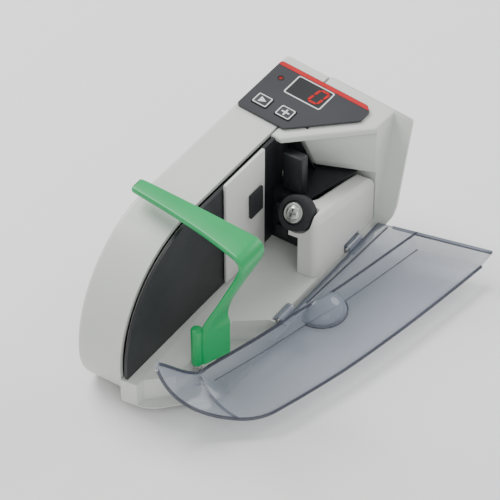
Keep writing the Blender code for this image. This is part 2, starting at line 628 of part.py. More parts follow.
def cover_section(y, lean, depth):
    """Points across the open cover, from the hinge line to the free edge."""
    ridge = ridge_x(y)
    hinge = min(2.6, ridge - 0.1)
    slope = 0.0 if depth == 0 else 3.0
    across = [(hinge, 0.0), ((hinge + ridge) / 2, 0.0), (ridge, 0.0), (ridge + slope, -depth)]
    start, end = ridge + slope, outer_x(y)
    across += [(start + (end - start) * k / 4, -depth) for k in (1, 2, 3, 4)]
    return [(x, y + lean * x, z) for x, z in across]


def on_curve(points, share):
    """A point on the smooth curve through four points, share 0 at the first and 1 at the last."""
    return interpolate_bezier(*(Vector(p) for p in points), 101)[round(100 * share)]


def make_cover(m):
    """The clear cover as one bent sheet, lying open like a tray; it curls round the body's end when shut."""
    sections = [cover_section(-0.2, COVER_LEAN, 0.0), cover_section(-4.2, COVER_LEAN, 0.0),
                cover_section(-5.4, COVER_LEAN, COVER_DEPTH)]
    for i, y in enumerate((-20.0, -40.0, -60.0, -80.0, -95.0, -104.0, -112.0, -121.0, -130.0)):
        sections.append(cover_section(y, COVER_LEAN * max(0.0, 1 - (i + 1) / 4), COVER_DEPTH))
    for i in range(1, SKIRT_STEPS + 1):
        share = i / SKIRT_STEPS
        inner, outer = on_curve(SKIRT_INNER, share), on_curve(SKIRT_OUTER, share)
        ring = [tuple(inner)] * 3
        for k in range(5):
            across = 0.12 + 0.88 * k / 4
            bulge = SKIRT_BULGE * math.sin(math.pi * across) * (1 - 0.5 * share)
            ring.append(tuple(inner.lerp(outer, across) + bulge * Vector((-0.1, -0.45, -0.9))))
        sections.append(ring)
    points = [p for ring in sections for p in ring]
    count = len(sections[0])
    faces = []
    for row in range(len(sections) - 1):
        for k in range(count - 1):
            corner = row * count + k
            if k < 2 and max(sections[row][2][1], sections[row + 1][2][1]) < -90:
                continue
            faces.append((corner, corner + 1, corner + count + 1, corner + count))
    cover = add_mesh("cover", points, faces, m["cover"])
    work = bmesh.new()
    work.from_mesh(cover.data)
    loose = [v for v in work.verts if not v.link_faces]
    bmesh.ops.delete(work, geom=loose, context="VERTS")
    if sum(f.normal.z for f in work.faces) < 0:
        bmesh.ops.reverse_faces(work, faces=work.faces)
    work.to_mesh(cover.data)
    work.free()
    thick = cover.modifiers.new("thickness", "SOLIDIFY")
    thick.thickness = COVER_T * MM
    thick.offset = -1.0
    thick.use_even_offset = True
    for i, y in enumerate(HINGE_YS):
        low, high = y - KNUCKLE_HALF, y + KNUCKLE_HALF
        unite(cover, rod(f"knuckle_{i}", (0, low, 0), (0, high, 0), KNUCKLE_R, m["cover"], 16),
              box(f"knuckle_web_{i}", (0, low, -1.6), (4.5, high, -0.1), m["cover"]))
        cut(cover, rod(f"knuckle_bore_{i}", (0, low - 2.5, 0), (0, high + 2.5, 0), KNUCKLE_BORE_R, m["cover"], 12))
        rod(f"hinge_pin_{i + 1}", (0, low - 0.7, 0), (0, high + 0.7, 0), HINGE_PIN_R, m["steel"], 12)


def make_screws(m):
    for i, (y, z) in enumerate(((-118, 40), (-118, -5), (-20, -8), (-20, 56)), 1):
        turned(f"shell_screw_{i}", (BACK_X - 0.9, y, z), (1, 0, 0), [(0, 2.0), (0.6, 2.8), (0.601, 2.8)],
               m["steel"], 16)


def build():
    clear_scene()
    m = make_materials()
    make_rear_shell(m)
    make_front_shell(m)
    make_roller_housing(m)
    make_roller(m)
    make_motor(m)
    make_throat(m)
    make_panel(m)
    make_power(m)
    make_feet(m)
    make_lever(m)
    make_cover(m)
    make_screws(m)


build()
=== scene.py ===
"""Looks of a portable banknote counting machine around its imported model, in metres, +Z up.

Places are given in millimetres from the head end of the cover's hinge line: X points out of the body
towards the open cover, Y along the note channel towards the head, Z up.
"""
import json
import math

import bmesh
import bpy
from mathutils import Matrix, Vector
from mathutils.geometry import interpolate_bezier

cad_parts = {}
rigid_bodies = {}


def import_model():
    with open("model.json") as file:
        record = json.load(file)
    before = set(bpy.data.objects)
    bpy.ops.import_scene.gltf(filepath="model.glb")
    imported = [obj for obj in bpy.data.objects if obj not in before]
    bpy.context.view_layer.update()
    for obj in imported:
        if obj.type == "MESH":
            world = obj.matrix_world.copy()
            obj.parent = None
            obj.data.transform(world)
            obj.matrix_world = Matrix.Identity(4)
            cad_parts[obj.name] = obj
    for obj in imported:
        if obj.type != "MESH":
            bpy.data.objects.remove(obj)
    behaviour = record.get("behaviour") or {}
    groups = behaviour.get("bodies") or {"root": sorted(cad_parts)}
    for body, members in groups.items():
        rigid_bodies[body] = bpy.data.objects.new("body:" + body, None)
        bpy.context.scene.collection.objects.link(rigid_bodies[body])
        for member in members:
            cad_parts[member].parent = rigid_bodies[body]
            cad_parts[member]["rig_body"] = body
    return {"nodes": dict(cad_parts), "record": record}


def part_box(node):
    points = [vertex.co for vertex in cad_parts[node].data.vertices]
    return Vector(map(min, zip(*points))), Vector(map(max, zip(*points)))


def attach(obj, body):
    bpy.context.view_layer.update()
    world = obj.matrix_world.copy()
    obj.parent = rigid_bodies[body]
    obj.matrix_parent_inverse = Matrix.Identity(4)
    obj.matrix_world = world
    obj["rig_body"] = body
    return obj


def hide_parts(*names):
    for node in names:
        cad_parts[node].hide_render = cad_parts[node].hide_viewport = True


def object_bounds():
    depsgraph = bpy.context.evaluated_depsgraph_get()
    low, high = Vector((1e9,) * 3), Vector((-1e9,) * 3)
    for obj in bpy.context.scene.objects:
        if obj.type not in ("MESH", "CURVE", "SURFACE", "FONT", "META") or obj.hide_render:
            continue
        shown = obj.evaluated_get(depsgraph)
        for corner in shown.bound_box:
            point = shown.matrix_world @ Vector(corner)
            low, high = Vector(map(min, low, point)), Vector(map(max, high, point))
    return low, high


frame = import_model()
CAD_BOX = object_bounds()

MM = 0.001
PIN_LOW, PIN_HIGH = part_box("hinge_pin_1")
PIN_Y = -19.0                            # middle of the first hinge pin along the hinge line
HINGE_END = (PIN_LOW + PIN_HIGH) / 2 - Vector((0.0, PIN_Y, 0.0)) * MM
BODY_OF = {node: obj["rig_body"] for node, obj in frame["nodes"].items()}
SLOT_OF = {entry["node"]: entry["material_slot"] for entry in frame["record"]["subparts"]}


def place(point):
    """A point in the hinge frame, in millimetres, as the row frame's metres."""
    return HINGE_END + Vector(point) * MM


def box_of(node):
    """The two corners of the node's bounds, in millimetres in the hinge frame."""
    return [(corner - HINGE_END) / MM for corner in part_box(node)]


def middle_of(node):
    low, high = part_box(node)
    return ((low + high) / 2 - HINGE_END) / MM


def srgb(red, green, blue):
    """A display colour, 0 to 255, as linear light."""
    return tuple((v / 255.0) ** 2.2 for v in (red, green, blue))


# Camera, floor and light

def make_camera():
    target = place((-25.9, -68.8, 20.0))
    azimuth, elevation, distance = math.radians(34.2), math.radians(42.9), 1.304
    back = Vector((math.sin(azimuth) * math.cos(elevation), -math.cos(azimuth) * math.cos(elevation),
                   math.sin(elevation)))
    lens = bpy.data.cameras.new("camera")
    lens.lens, lens.sensor_width = 200.0, 36.0
    camera = bpy.data.objects.new("camera", lens)
    camera.location = target + back * distance
    camera.rotation_mode = "QUATERNION"
    camera.rotation_quaternion = (-back).to_track_quat("-Z", "Y")
    bpy.context.scene.collection.objects.link(camera)
    bpy.context.scene.camera = camera


def make_light(name, where, aim, size, watts, colour=(1.0, 1.0, 1.0)):
    lamp = bpy.data.lights.new(name, "AREA")
    lamp.shape = "DISK"
    lamp.size, lamp.energy, lamp.color = size, watts, colour
    light = bpy.data.objects.new(name, lamp)
    light.location = where
    light.rotation_mode = "QUATERNION"
    light.rotation_quaternion = (Vector(aim) - Vector(where)).to_track_quat("-Z", "Y")
    bpy.context.scene.collection.objects.link(light)


def make_stage():
    work = bmesh.new()
    bmesh.ops.create_grid(work, x_segments=8, y_segments=8, size=4.0)
    mesh = bpy.data.meshes.new("floor")
    work.to_mesh(mesh)
    work.free()
    floor = bpy.data.objects.new("floor", mesh)
    bpy.context.scene.collection.objects.link(floor)
    floor.location.z = CAD_BOX[0].z
    pale, deep = (0.86, 0.86, 0.86), (0.83, 0.83, 0.83)
    mesh.materials.append(moulded("floor_paper", pale, deep, (0.85, 0.95), 3.0, 60.0, 0.0))
    middle = (CAD_BOX[0] + CAD_BOX[1]) / 2
    make_light("key", middle + Vector((-0.75, 0.15, 0.9)), middle, 0.7, 15.0)
    make_light("fill", middle + Vector((0.9, -0.6, 0.7)), middle, 0.9, 3.0)
    make_light("back", middle + Vector((0.3, 0.9, 0.6)), middle, 0.6, 4.0)
    world = bpy.data.worlds.new("studio")
    bpy.context.scene.world = world
    world.use_nodes = True
    world.node_tree.nodes["Background"].inputs["Color"].default_value = (1.0, 1.0, 1.0, 1.0)
    world.node_tree.nodes["Background"].inputs["Strength"].default_value = 0.8


# Materials

def new_material(name):
    made = bpy.data.materials.new(name)
    made.use_nodes = True
    tree = made.node_tree
    shader = tree.nodes["Principled BSDF"]
    return made, tree, shader


def noise(tree, scale, detail=2.0):
    """Noise fixed to the piece."""
    coordinates = tree.nodes.new("ShaderNodeTexCoord")
    texture = tree.nodes.new("ShaderNodeTexNoise")
    texture.inputs["Scale"].default_value = scale
    texture.inputs["Detail"].default_value = detail
    tree.links.new(coordinates.outputs["Object"], texture.inputs["Vector"])
    return texture.outputs["Fac"]


def spread(tree, value, low, high, start=0.3, end=0.7):
    ramp = tree.nodes.new("ShaderNodeMapRange")
    for name, number in (("From Min", start), ("From Max", end), ("To Min", low), ("To Max", high)):
        ramp.inputs[name].default_value = number
    tree.links.new(value, ramp.inputs["Value"])
    return ramp.outputs["Result"]


def blend_colours(tree, value, first, second):
    mix = tree.nodes.new("ShaderNodeMix")
    mix.data_type = "RGBA"
    mix.inputs["A"].default_value = (*first, 1.0)
    mix.inputs["B"].default_value = (*second, 1.0)
    tree.links.new(value, mix.inputs["Factor"])
    return mix.outputs["Result"]


def add_bump(tree, shader, value, depth):
    bump = tree.nodes.new("ShaderNodeBump")
    bump.inputs["Distance"].default_value = depth * MM
    bump.inputs["Strength"].default_value = 1.0
    tree.links.new(value, bump.inputs["Height"])
    tree.links.new(bump.outputs["Normal"], shader.inputs["Normal"])


def moulded(name, colour, deep, rough, cloud, grain, bump, specular=0.5, metallic=0.0):
    """Moulded plastic, rubber or metal: cloudy colour, uneven gloss and a fine surface grain."""
    made, tree, shader = new_material(name)
    clouds = spread(tree, noise(tree, cloud, 4.0), 0.0, 1.0)
    tree.links.new(blend_colours(tree, clouds, colour, deep), shader.inputs["Base Color"])
    fine = noise(tree, grain, 3.0)
    tree.links.new(spread(tree, fine, *rough), shader.inputs["Roughness"])
    shader.inputs["Specular IOR Level"].default_value = specular
    shader.inputs["Metallic"].default_value = metallic
    if bump:
        add_bump(tree, shader, fine, bump)
    return made


PLASTICS = (  # slot, name, colour, clouded colour, roughness, cloud scale, grain scale, grain depth in mm
    ("shell_plastic", "shell_abs", (205, 208, 203), (199, 203, 198), (0.36, 0.5), 25.0, 2200.0, 0.02),
    ("housing_plastic", "housing_abs", (208, 208, 204), (202, 203, 199), (0.34, 0.46), 30.0, 2200.0, 0.015),
    ("black_plastic", "black_abs", (36, 38, 42), (28, 30, 33), (0.38, 0.55), 60.0, 2500.0, 0.03),
    ("panel_plastic", "panel_film", (58, 59, 63), (53, 54, 58), (0.3, 0.38), 40.0, 3500.0, 0.01),
    ("window_plastic", "window", (48, 50, 52), (40, 42, 44), (0.08, 0.14), 40.0, 900.0, 0.0),
    ("lever_plastic", "lever_green", (6, 156, 86), (4, 147, 80), (0.28, 0.4), 35.0, 1800.0, 0.015),
    ("circuit_board", "circuit_board", (26, 104, 58), (20, 86, 46), (0.3, 0.45), 300.0, 1500.0, 0.02),
    ("led_plastic", "led_lens", (150, 24, 26), (132, 18, 20), (0.12, 0.2), 200.0, 900.0, 0.0),
    ("print_red", "print_red", (190, 28, 36), (178, 22, 30), (0.3, 0.4), 60.0, 3000.0, 0.0),
    ("print_white", "print_white", (222, 222, 222), (208, 208, 208), (0.3, 0.4), 60.0, 3000.0, 0.0),
)


def make_materials():
    made = {slot: moulded(name, srgb(*colour), srgb(*deep), rough, cloud, grain, bump)
            for slot, name, colour, deep, rough, cloud, grain, bump in PLASTICS}
    made["rubber"] = moulded("rubber", srgb(44, 46, 49), srgb(34, 35, 38), (0.62, 0.82), 90.0, 3200.0,
                             0.05, specular=0.35)
    made["steel"] = moulded("steel", srgb(200, 200, 198), srgb(186, 186, 184), (0.26, 0.32), 60.0, 1800.0,
                            0.0, metallic=1.0)
    made["brass"] = moulded("brass", srgb(214, 178, 106), srgb(196, 158, 90), (0.25, 0.4), 200.0, 2600.0,
                            0.008, metallic=1.0)
    made["cover_plastic"] = smoked("smoked_clear", srgb(152, 160, 176), srgb(144, 153, 169), 0.28, 0.85)
    # Darker, denser copy of the clear cover plastic for the beads along its edges, ridge, rib, crease and
    # dome rims: painted shade for the dark lines that light bent through the clear sheet shows there.
    made["cover_edge"] = smoked("smoked_edge_painted_shade", srgb(66, 69, 84), srgb(58, 61, 75), 0.72, 0.95)
    made["digit_red"] = glowing("digit_red", srgb(188, 2, 10))
    return made


def smoked(name, colour, deep, face_on, edge_on):
    """Thin smoke-tinted clear plastic: see-through face on and denser seen at a slant."""
    made, tree, shader = new_material(name)
    clouds = spread(tree, noise(tree, 30.0, 3.0), 0.0, 1.0)
    tree.links.new(blend_colours(tree, clouds, colour, deep), shader.inputs["Base Color"])
    tree.links.new(spread(tree, noise(tree, 700.0, 2.0), 0.06, 0.14), shader.inputs["Roughness"])
    weight = tree.nodes.new("ShaderNodeLayerWeight")
    weight.inputs["Blend"].default_value = 0.35
    tree.links.new(spread(tree, weight.outputs["Facing"], face_on, edge_on, 0.0, 1.0), shader.inputs["Alpha"])
    shader.inputs["Specular IOR Level"].default_value = 0.8
    return made


def glowing(name, colour):
    made, tree, shader = new_material(name)
    fine = noise(tree, 900.0, 2.0)
    darker = tuple(0.8 * c for c in colour)
    tree.links.new(blend_colours(tree, fine, colour, darker), shader.inputs["Base Color"])
    tree.links.new(spread(tree, fine, 0.25, 0.35), shader.inputs["Roughness"])
    shader.inputs["Emission Color"].default_value = (*colour, 1.0)
    shader.inputs["Emission Strength"].default_value = 0.12
    return made


# Mesh helpers

EDGE_ANGLE = 30.0                        # edges sharper than this, in degrees, are rounded


def link(name, mesh, finish):
    mesh.materials.clear()
    mesh.materials.append(finish)
    made = bpy.data.objects.new(name, mesh)
    bpy.context.scene.collection.objects.link(made)
    return made


def smooth(mesh, angle=35.0):
    mesh.shade_smooth()
    mesh.set_sharp_from_angle(angle=math.radians(angle))


def refine(node, width):
    """The node's own solid with its sharp edges rounded, standing for the plain one."""
    mesh = frame["nodes"][node].data.copy()
    work = bmesh.new()
    work.from_mesh(mesh)
    bmesh.ops.remove_doubles(work, verts=work.verts, dist=0.000002)
    bmesh.ops.dissolve_limit(work, angle_limit=math.radians(0.6), verts=work.verts, edges=work.edges)
    work.to_mesh(mesh)
    work.free()
    made = link(f"{node}_piece", mesh, M[SLOT_OF[node]])
    smooth(mesh, EDGE_ANGLE)
    if width:
        edge = made.modifiers.new("edge", "BEVEL")
        edge.width = width * MM
        edge.segments = 3
        edge.limit_method = "ANGLE"
        edge.angle_limit = math.radians(EDGE_ANGLE)
        edge.use_clamp_overlap = True
        edge.harden_normals = True
    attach(made, BODY_OF[node])
    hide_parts(node)


# Outlines and solids

def solid(name, rings, finish, body, closed=True, angle=35.0):
    """A closed solid through rings of equally many points in the hinge frame."""
    work = bmesh.new()
    made = [[work.verts.new(place(p)) for p in ring] for ring in rings]
    count = len(rings[0])
    for low, high in zip(made, made[1:]):
        for i in range(count):
            j = (i + 1) % count
            work.faces.new((low[i], low[j], high[j], high[i]))
    if closed:
        work.faces.new(made[0][::-1])
        work.faces.new(made[-1])
    else:
        for i in range(count):
            j = (i + 1) % count
            work.faces.new((made[-1][i], made[-1][j], made[0][j], made[0][i]))
    bmesh.ops.recalc_face_normals(work, faces=work.faces)
    mesh = bpy.data.meshes.new(name)
    work.to_mesh(mesh)
    work.free()
    piece = link(name, mesh, finish)
    smooth(mesh, angle)
    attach(piece, body)
    return piece


def rounded_box(x0, y0, x1, y1, radius, steps=6):
    """A rectangle with round corners, counter-clockwise."""
    outline = []
    left, right, low, high = x0 + radius, x1 - radius, y0 + radius, y1 - radius
    for quarter, (cx, cy) in enumerate(((right, high), (left, high), (left, low), (right, low))):
        for k in range(steps + 1):
            t = math.pi / 2 * (quarter + k / steps)
            outline.append((cx + radius * math.cos(t), cy + radius * math.sin(t)))
    return outline


def bevel(piece, width, segments=2, angle=40.0):
    edge = piece.modifiers.new("edge", "BEVEL")
    edge.width = width * MM
    edge.segments = segments
    edge.limit_method = "ANGLE"
    edge.angle_limit = math.radians(angle)


def turned(name, start, along, profile, finish, body, sides=72, open_middle=False):
    """A solid of revolution from (distance along, radius) pairs; open_middle closes the profile on itself."""
    start, along = Vector(start), Vector(along).normalized()
    across = along.orthogonal().normalized()
    other = along.cross(across)
    rings = []
    for distance, radius in profile:
        turns = [2 * math.pi * i / sides for i in range(sides)]
        centre = start + distance * along
        rings.append([centre + radius * (math.cos(t) * across + math.sin(t) * other) for t in turns])
    return solid(name, rings, finish, body, closed=not open_middle)


def smooth_between(values, steps):
    """Rows of numbers joined by a smooth curve through each of them."""
    rows = []
    for i in range(len(values) - 1):
        before, here = values[max(i - 1, 0)], values[i]
        ahead, after = values[i + 1], values[min(i + 2, len(values) - 1)]
        for k in range(steps):
            t = k / steps
            around = zip(before, here, ahead, after)
            rows.append([0.5 * (2 * b + (c - a) * t + (2 * a - 5 * b + 4 * c - d) * t * t
                                + (3 * b - a - 3 * c + d) * t ** 3) for a, b, c, d in around])
    rows.append(list(values[-1]))
    return rows


# Flick roller and its screw

ROLLER_SHAFT = Vector((0.0, 0.79, -0.613))
ROLLER_HALF = 4.15
ROLLER_R = 8.7
CROSS_SLOTS = ((2.35, 0.5), (0.5, 2.35))  # half sizes of the screw's two crossed slots


def make_roller():
    centre = middle_of("flick_roller")
    shaft = ROLLER_SHAFT.normalized()
    half, outer = ROLLER_HALF, ROLLER_R
    curve = [(0.0, 5.9), (0.0, 7.5), (0.15, 8.0), (0.5, 8.35), (1.0, 8.6), (1.7, outer)]
    profile = curve + [(2 * half - d, r) for d, r in reversed(curve)]
    tyre = turned("flick_roller_tyre", centre - half * shaft, shaft, profile, M["rubber"], "roller", 96, True)
    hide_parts("flick_roller")
    hub = turned("roller_hub_disc", centre - (half - 0.35) * shaft, shaft,
                 [(0.2, 1.6), (0.0, 2.2), (0.0, 5.2), (0.3, 5.65), (7.3, 5.65), (7.6, 5.2), (7.6, 1.6)],
                 M["black_plastic"], "roller", 72, True)
    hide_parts("roller_hub")
    face = centre - (half + 2.2) * shaft
    head = turned("roller_screw_head", face, shaft,
                  [(0.0, 1.2), (0.05, 2.0), (0.3, 2.7), (0.75, 3.2), (1.25, 3.45), (1.4, 3.55), (1.4, 4.55),
                   (1.52, 4.78), (1.7, 4.85), (2.1, 4.85), (2.25, 4.7)], M["steel"], "roller", 72)
    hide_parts("roller_screw")
    carve_cross(head, face, shaft)


def carve_cross(head, face, shaft):
    """The screw's cross recess: two crossed slots that taper inwards."""
    turn = shaft.to_track_quat("Z", "Y").to_matrix()
    for i, (half_x, half_y) in enumerate(CROSS_SLOTS):
        rings = []
        for depth, share in ((-0.6, 1.15), (1.3, 0.55)):
            corners = [(-half_x, -half_y), (half_x, -half_y), (half_x, half_y), (-half_x, half_y)]
            rings.append([face + turn @ Vector((x * share, y * share, depth)) for x, y in corners])
        tool = solid(f"cross_tool_{i}", rings, M["steel"], "roller")
        apply_cut(head, tool)


def apply_cut(piece, tool):
    """Cuts tool out of piece for good and removes it."""
    change = piece.modifiers.new("cut", "BOOLEAN")
    change.operation = "DIFFERENCE"
    change.object = tool
    bpy.context.view_layer.update()
    result = bpy.data.meshes.new_from_object(piece.evaluated_get(bpy.context.evaluated_depsgraph_get()))
    piece.modifiers.remove(change)
    piece.data = result
    smooth(result, 35.0)
    bpy.data.objects.remove(tool)


# Throat

# Outline and thickness of the black board of painted shade that stands for the dark inside of the throat's
# mouth
THROAT_SHADE_OUTLINE = ((-27.0, 33.8), (-13.5, 33.8), (-20.5, 57.5), (-27.0, 57.5))   # (y, z)
THROAT_SHADE_X = (-36.8, -36.0)


def make_throat_shade():
    """Black board of painted shade on the fixed half's wall, at the mouth of the throat, for the dark deep
    inside it.
    """
    sides = [[(x, y, z) for y, z in THROAT_SHADE_OUTLINE] for x in THROAT_SHADE_X]
    shade_board = solid("throat_shade_board", sides, M["black_plastic"], "body")


# Clamp lever

PAD_TURN = 0.38                          # the pad stands askew, turned towards the cover
STRIP_T = 3.0                            # thickness of the strip


def make_lever():
    """One bent strip: pad, leaning strut with hollowed edges and the arm across the channel."""
    stations = [  # x, z, thickness direction (x, z), low y, high y, turn towards the cover
        (-61.0, 71.7, 0.0, 1.0, -111.3, -105.3, 0.0), (-59.6, 71.7, 0.0, 1.0, -112.3, -104.0, 0.0),
        (-40.0, 71.7, 0.0, 1.0, -114.8, -104.6, 0.0), (-18.0, 71.7, 0.0, 1.0, -118.5, -105.6, 0.0),
        (0.5, 71.7, 0.05, 1.0, -123.0, -106.7, 0.0), (4.6, 71.3, 0.38, 0.92, -124.3, -107.0, 0.0),
        (6.7, 69.6, 0.83, 0.55, -124.8, -107.3, 0.0), (7.0, 67.0, 0.99, -0.1, -124.7, -107.7, 0.0),
        (5.8, 63.0, 0.93, -0.36, -124.2, -108.7, 0.0), (3.0, 56.5, 0.92, -0.38, -123.2, -110.5, 0.0),
        (-1.5, 46.5, 0.92, -0.38, -122.8, -112.6, 0.0), (-6.0, 36.0, 0.92, -0.38, -124.0, -113.8, 0.0),
        (-10.2, 26.6, 0.94, -0.33, -126.6, -114.3, 0.19), (-12.0, 21.4, 0.99, -0.1, -128.0, -114.3, PAD_TURN),
        (-12.2, 17.0, 1.0, 0.0, -128.4, -114.3, PAD_TURN), (-12.2, 1.8, 1.0, 0.0, -128.4, -114.3, PAD_TURN)]
    rings = []
    for x, z, out_x, out_z, low_y, high_y, turn in smooth_between(stations, 5):
        out = Vector((out_x, 0.0, out_z)).normalized()
        half, middle = (high_y - low_y) / 2, (high_y + low_y) / 2
        corner = rounded_box(-half, -STRIP_T / 2, half, STRIP_T / 2, 1.0, 5)
        rings.append([Vector((x + turn * (half + u), middle + u, z)) + v * out for u, v in corner])
    strip = solid("lever_strip", rings, M["lever_plastic"], "lever", angle=50.0)
    bevel(strip, 0.45, 3, 60.0)
    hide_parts("clamp_lever")
    pin = middle_of("lever_pin")
    barrel = turned("lever_barrel", (pin.x, pin.y, 1.0), (0, 0, 1),
                    [(19.0, 0.05), (19.0, 1.3), (0.0, 1.3), (0.0, 2.5), (0.35, 2.85), (0.8, 2.9), (20.6, 2.9),
                     (21.2, 2.75), (21.5, 2.3), (21.6, 1.3), (21.6, 0.05)],
                    M["lever_plastic"], "lever", 48)


# Control panel

PANEL_LOW, PANEL_HIGH = box_of("control_panel")
TOP_SLOPE = -0.105                       # the panel falls towards the cover
BUTTON_RISE = 0.5                        # how far the button caps stand above it
LAMP_RING = (1.75, 1.25)                 # outer and inner radius of the ring round the lamp
STRIPE = ((-60.6, 7.3), (-10.0, 7.3), (-10.0, 8.2), (-12.3, 9.9), (-59.9, 9.9), (-60.6, 9.2))


def on_panel(x, y, lift):
    """A point above the tilted panel."""
    return (x, y, PANEL_HIGH.z + TOP_SLOPE * (x - PANEL_LOW.x) + lift)


def printed(name, outline, finish, body="body", lift=0.02, height=0.1, hole=None):
    """A thin print on the panel, or a band round hole."""
    if hole:
        corners = [[on_panel(x, y, h) for x, y in line] for line, h in
                   ((outline, lift), (outline, lift + height), (hole, lift + height), (hole, lift))]
        piece = solid(name, corners, M[finish], body, closed=False)
    else:
        faces = [[on_panel(x, y, h) for x, y in outline] for h in (lift, lift + height)]
        piece = solid(name, faces, M[finish], body)


def node_rectangle(node, inwards, radius):
    low, high = box_of(node)
    return rounded_box(low.x + inwards, low.y + inwards, high.x - inwards, high.y - inwards, radius)


def make_prints():
    printed("panel_stripe", STRIPE, "print_red")
    printed("window_outline", node_rectangle("display_window", -0.55, 1.2), "print_white",
            hole=node_rectangle("display_window", 0.1, 0.8))
    for node in ("start_button", "add_button"):
        printed(f"{node}_outline", node_rectangle(node, 0.25, 0.9), "print_white", node, BUTTON_RISE,
                hole=node_rectangle(node, 0.8, 0.6))
    start, add = middle_of("start_button"), middle_of("add_button")
    triangle = [(start.x - 1.5, start.y - 2.0), (start.x + 2.1, start.y), (start.x - 1.5, start.y + 2.0)]
    printed("start_icon", triangle, "print_white", "start_button", BUTTON_RISE)
    arm, half = 2.1, 0.42
    plus = [(arm, -half), (arm, half), (half, half), (half, arm), (-half, arm), (-half, half), (-arm, half),
            (-arm, -half), (-half, -half), (-half, -arm), (half, -arm), (half, -half)]
    printed("add_icon", [(add.x + x, add.y + y) for x, y in plus], "print_white", "add_button", BUTTON_RISE)
    lamp = middle_of("low_battery_led")
    turns = [2 * math.pi * i / 32 for i in range(32)]
    outer, inner = ([(lamp.x + r * math.cos(t), lamp.y + r * math.sin(t)) for t in turns]
                    for r in LAMP_RING)
    printed("lamp_ring", outer, "black_plastic", hole=inner)
    make_digit()


def make_digit():
    """A seven-segment nought, leaning forwards, in the right third of the window."""
    centre = middle_of("display_window") + Vector((5.2, 0.3, 0.0))
    half_x, half_y, stroke, lean = 2.5, 4.8, 1.25, 0.14

    def segment(name, start, end):
        start, end = Vector(start), Vector(end)
        along = (end - start).normalized()
        side = Vector((-along.y, along.x)) * stroke / 2
        tip = along * stroke / 2
        corners = [start, start + tip + side, end - tip + side, end, end - tip - side, start + tip - side]
        outline = [(centre.x + p.x + lean * p.y, centre.y + p.y) for p in corners[::-1]]
        printed(name, outline, "digit_red")

    gap = 0.22
    for name, y in (("digit_top", half_y), ("digit_bottom", -half_y)):
        segment(name, (-half_x + gap, y), (half_x - gap, y))
    for side, x in (("left", -half_x), ("right", half_x)):
        segment(f"digit_{side}_upper", (x, gap), (x, half_y - gap))
        segment(f"digit_{side}_lower", (x, -half_y + gap), (x, -gap))


# Cover

COVER_T = 1.6                            # thickness of the sheet
COVER_DEPTH = 8.0                        # how far the basin lies below the flange
KNUCKLE_HALF = 5.5                       # half the length of a hinge knuckle
COVER_LEAN = 0.24                        # the head end of the open cover runs outwards at this slope
LEAN_END = 86.0                          # the slant fades out this far from the head end
LEAN_FADE = 80.0                         # and takes this much of the length to do so
HINGE_EDGE = 2.6                         # where the sheet starts beside the hinge line
STEP_RUN = 3.0                           # how far the step between flange and basin slopes outwards
RIM_REACH = 58.8                         # how far the flange at the head end reaches
EDGE_REACH = 56.0                        # free edge of the basin at the head end
EDGE_TAPER = 21.6                        # how much narrower the basin is EDGE_SPAN further along
EDGE_CURL = 9.0                          # and how much more it curls in there
EDGE_CURL_POWER = 2.6                    # the curl gathers towards the round end
EDGE_SPAN = 130.8
# The ridge between flange and basin, as (y, x), and the curves that the round end is drawn between
RIDGE = ((3.0, 22.3), (-34.0, 14.7), (-50.8, 11.1), (-71.0, 5.0), (-99.0, -1.9), (-130.0, -11.0))
SKIRT_INNER = ((-10.5, -130.5, 0.0), (-12.0, -138.0, 2.0), (-14.0, -149.0, 17.0), (-15.5, -157.5, 25.0))
SKIRT_OUTER = ((23.5, -133.5, -8.8), (2.0, -150.0, -8.8), (-13.0, -155.0, 0.0), (-16.2, -158.5, 25.0))
SKIRT_BULGE = 3.0                        # how far the round end bulges
SKIRT_PUSH = Vector((-0.1, -0.45, -0.9))  # and which way
SKIRT_START = 0.06                       # share of the way across where its bulge starts
SKIRT_STEPS = 20                         # rows round the end
CURVE_STEPS = 200                        # points that its curves are read at
BASIN_STEPS = 8                          # strips across the basin
BLEND_STEPS = 8                          # rows that round the corner between the basin and the round end
LAST_Y = -126.0                          # the last straight row
RIB_SHARE = 0.125                        # how far round the end the stiffening rib runs
DOME_Y = -60.0                           # middle of the finger dome along the ridge
DOME_R = 11.0
BEAD_ASIDE = Vector((0.31, 0.17, 0.93))  # a direction that no bead runs along
RIM_START = 0.75                         # the end bead starts clear of the head
TIP_SHARE = 0.95                         # the round end is cut off here
FLANGE_CREASE = ((7.9, -2.2), (4.6, -66.5))  # second crease beside the hinge line


def ridge_x(y):
    for (y1, x1), (y0, x0) in zip(RIDGE, RIDGE[1:]):
        if y >= y0:
            return x0 + (x1 - x0) * (y - y0) / (y1 - y0)
    return RIDGE[-1][1]


def outer_x(y):
    """The open cover's free edge: nearly straight, then curving in towards the round end."""
    share = -y / EDGE_SPAN
    return EDGE_REACH - EDGE_TAPER * share - EDGE_CURL * share ** EDGE_CURL_POWER


def cover_lean(y):
    return COVER_LEAN * min(1.0, max(0.0, (LEAN_END + y) / LEAN_FADE))


def cover_row(y, depth):
    """Points across the open cover, from the hinge line to the free edge."""
    ridge = ridge_x(y)
    hinge = min(HINGE_EDGE, ridge - 0.1)
    slope = STEP_RUN if depth else 0.0
    across = [(hinge, 0.0), ((hinge + ridge) / 2, 0.0), (ridge, 0.0), (ridge + slope, -depth)]
    start, end = ridge + slope, outer_x(y) if depth else RIM_REACH
    across += [(start + (end - start) * k / BASIN_STEPS, -depth) for k in range(1, BASIN_STEPS + 1)]
    return [Vector((x, y + cover_lean(y) * x, z)) for x, z in across]


def on_curve(points, share):
    return interpolate_bezier(*(Vector(p) for p in points), CURVE_STEPS + 1)[round(CURVE_STEPS * share)]


